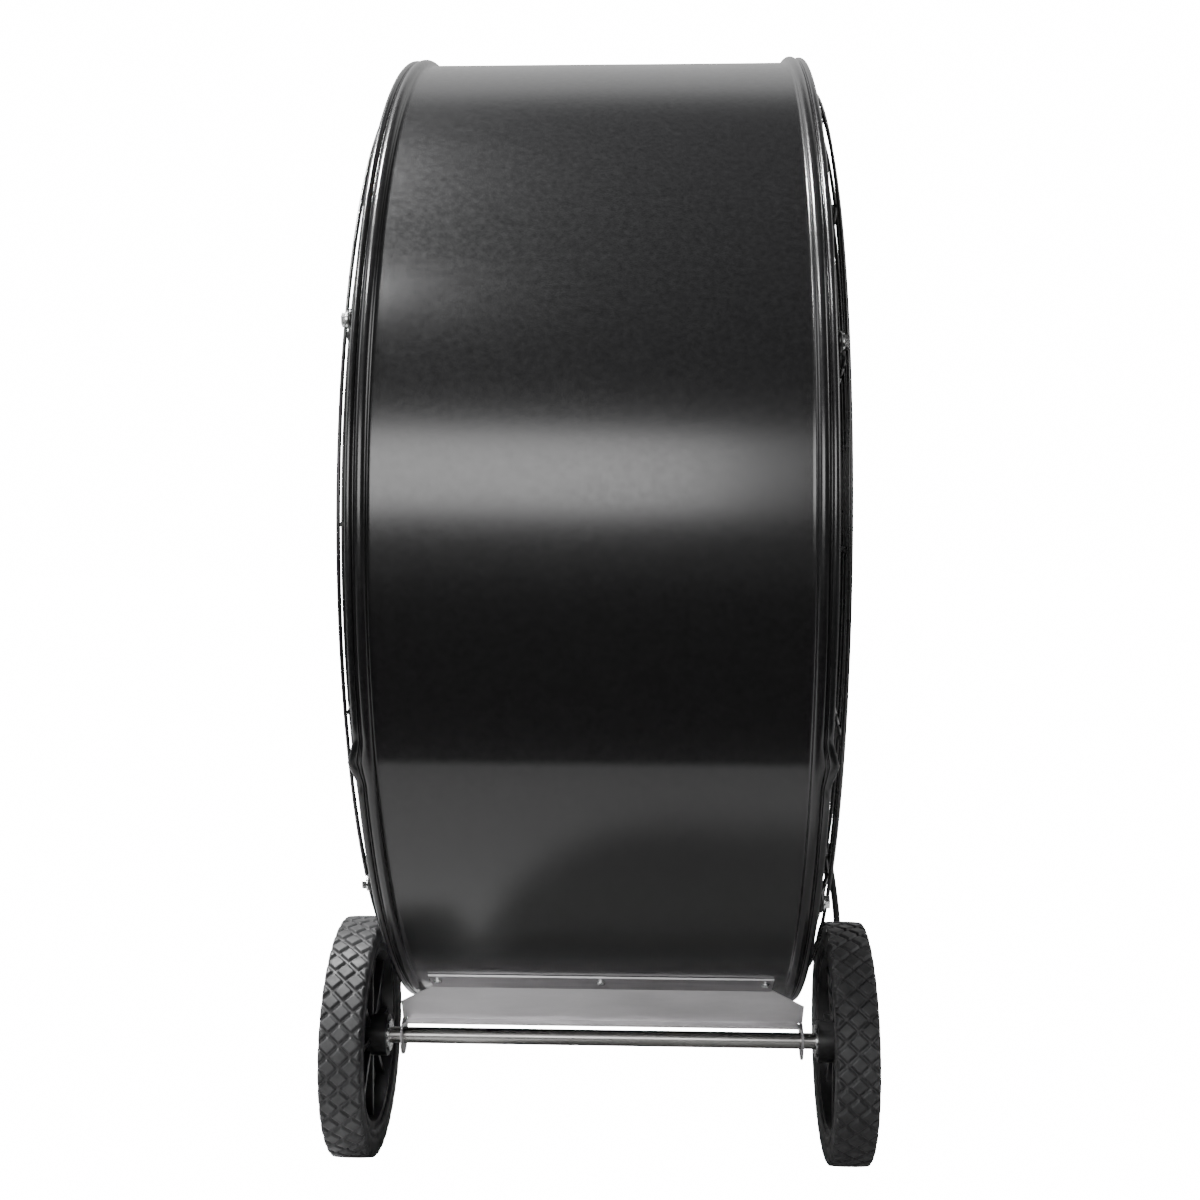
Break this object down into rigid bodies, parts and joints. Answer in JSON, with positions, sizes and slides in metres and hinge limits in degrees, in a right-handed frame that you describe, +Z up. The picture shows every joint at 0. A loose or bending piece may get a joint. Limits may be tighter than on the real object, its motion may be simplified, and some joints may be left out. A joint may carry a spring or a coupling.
{
  "type": "portable drum fan",
  "caption": "Large round drum fan with wire guards at both ends, belt-driven blades, two tread-tyred wheels on an axle bracket, a rear foot stand, a pull handle and a power cord.",
  "frame": {"origin": "on the floor, under the middle of the fan's box, the free cord left out", "axes": "+X along the fan axis from outlet to intake, +Y from the wheels to the handle, +Z up"},
  "size_m": [0.6261, 1.2224, 1.2384],
  "materials": {
    "drum_paint": "semi-gloss black powder coat with fine orange peel",
    "guard_wire": "gloss black coated wire",
    "zinc_bolts": "bright zinc plate",
    "bare_sheet": "bare rolled sheet, satin",
    "axle_steel": "bare drawn bar",
    "tyre_rubber": "matt solid rubber with moulded diamond tread",
    "wheel_plastic": "moulded black plastic",
    "soft_rubber": "matt black rubber",
    "cast_housing": "painted grey-black casting",
    "blade_metal": "mill-finish aluminium sheet",
    "motor_paint": "black enamel",
    "cord_jacket": "black flexible jacket",
    "plug_brass": "plated brass"
  },
  "bodies": {
    "fan_frame": {"drum_shell": "drum_paint", "guard_tabs": "drum_paint", "guard_rings_outlet": "guard_wire", "guard_rings_intake": "guard_wire", "guard_spokes_outlet": "guard_wire", "guard_spokes_intake": "guard_wire", "guard_plates": "guard_wire", "guard_bolts_outlet": "zinc_bolts", "guard_bolts_intake": "zinc_bolts", "guard_nuts": "zinc_bolts", "axle_bracket": "bare_sheet", "bracket_screws": "zinc_bolts", "bracket_nuts": "zinc_bolts", "axle": "axle_steel", "axle_washers": "zinc_bolts", "axle_caps": "zinc_bolts", "stand_tube": "drum_paint", "stand_pads": "drum_paint", "stand_bolts": "zinc_bolts", "stand_feet": "soft_rubber", "handle_tube": "drum_paint", "handle_grip": "soft_rubber", "handle_pads": "drum_paint", "handle_bolts": "zinc_bolts", "pad_nuts": "zinc_bolts", "strut": "drum_paint", "strut_spacers": "zinc_bolts", "strut_bolts": "zinc_bolts", "strut_nuts": "zinc_bolts", "bearing_blocks": "cast_housing", "bearing_bolts": "zinc_bolts", "motor_base": "drum_paint", "base_bolts": "zinc_bolts", "motor_shell": "motor_paint", "motor_ends": "motor_paint", "motor_box": "drum_paint", "drive_belt": "soft_rubber", "motor_lead": "cord_jacket", "lead_grommet": "soft_rubber", "switch_box_body": "drum_paint", "switch_screws": "zinc_bolts", "cord_gland": "wheel_plastic", "power_cord": "cord_jacket", "cord_coil": "cord_jacket", "cord_plug": "cord_jacket", "plug_pins": "plug_brass"},
    "fan_rotor": {"fan_shaft": "axle_steel", "fan_hub": "cast_housing", "fan_blades": "blade_metal", "blade_rivets": "zinc_bolts", "fan_pulley": "cast_housing"},
    "motor_rotor": {"motor_shaft": "axle_steel", "motor_pulley": "cast_housing"},
    "left_wheel": {"tyre_left": "tyre_rubber", "wheel_left": "wheel_plastic"},
    "right_wheel": {"tyre_right": "tyre_rubber", "wheel_right": "wheel_plastic"},
    "speed_knob": {"switch_knob": "wheel_plastic"}
  },
  "joints": [
    {"name": "fan_spin", "type": "hinge", "parent": "fan_frame", "child": "fan_rotor", "pos_m": [0, -0.05525, 0.6775], "axis": [1, 0, 0], "continuous": true},
    {"name": "motor_spin", "type": "hinge", "parent": "fan_frame", "child": "motor_rotor", "pos_m": [0.1, 0.10975, 0.4275], "axis": [1, 0, 0], "continuous": true},
    {"name": "left_wheel_spin", "type": "hinge", "parent": "fan_frame", "child": "left_wheel", "pos_m": [-0.2619, -0.29525, 0.127], "axis": [1, 0, 0], "continuous": true},
    {"name": "right_wheel_spin", "type": "hinge", "parent": "fan_frame", "child": "right_wheel", "pos_m": [0.2619, -0.29525, 0.127], "axis": [1, 0, 0], "continuous": true},
    {"name": "speed_turn", "type": "hinge", "parent": "fan_frame", "child": "speed_knob", "pos_m": [0.12, 0.4889, 0.75398], "axis": [0, 0.9903, 0.1392], "range_deg": [-90, 0]}
  ],
  "couplings": [
    {"joint": "motor_spin", "follows": "fan_spin", "ratio": 4.5077}
  ]
}
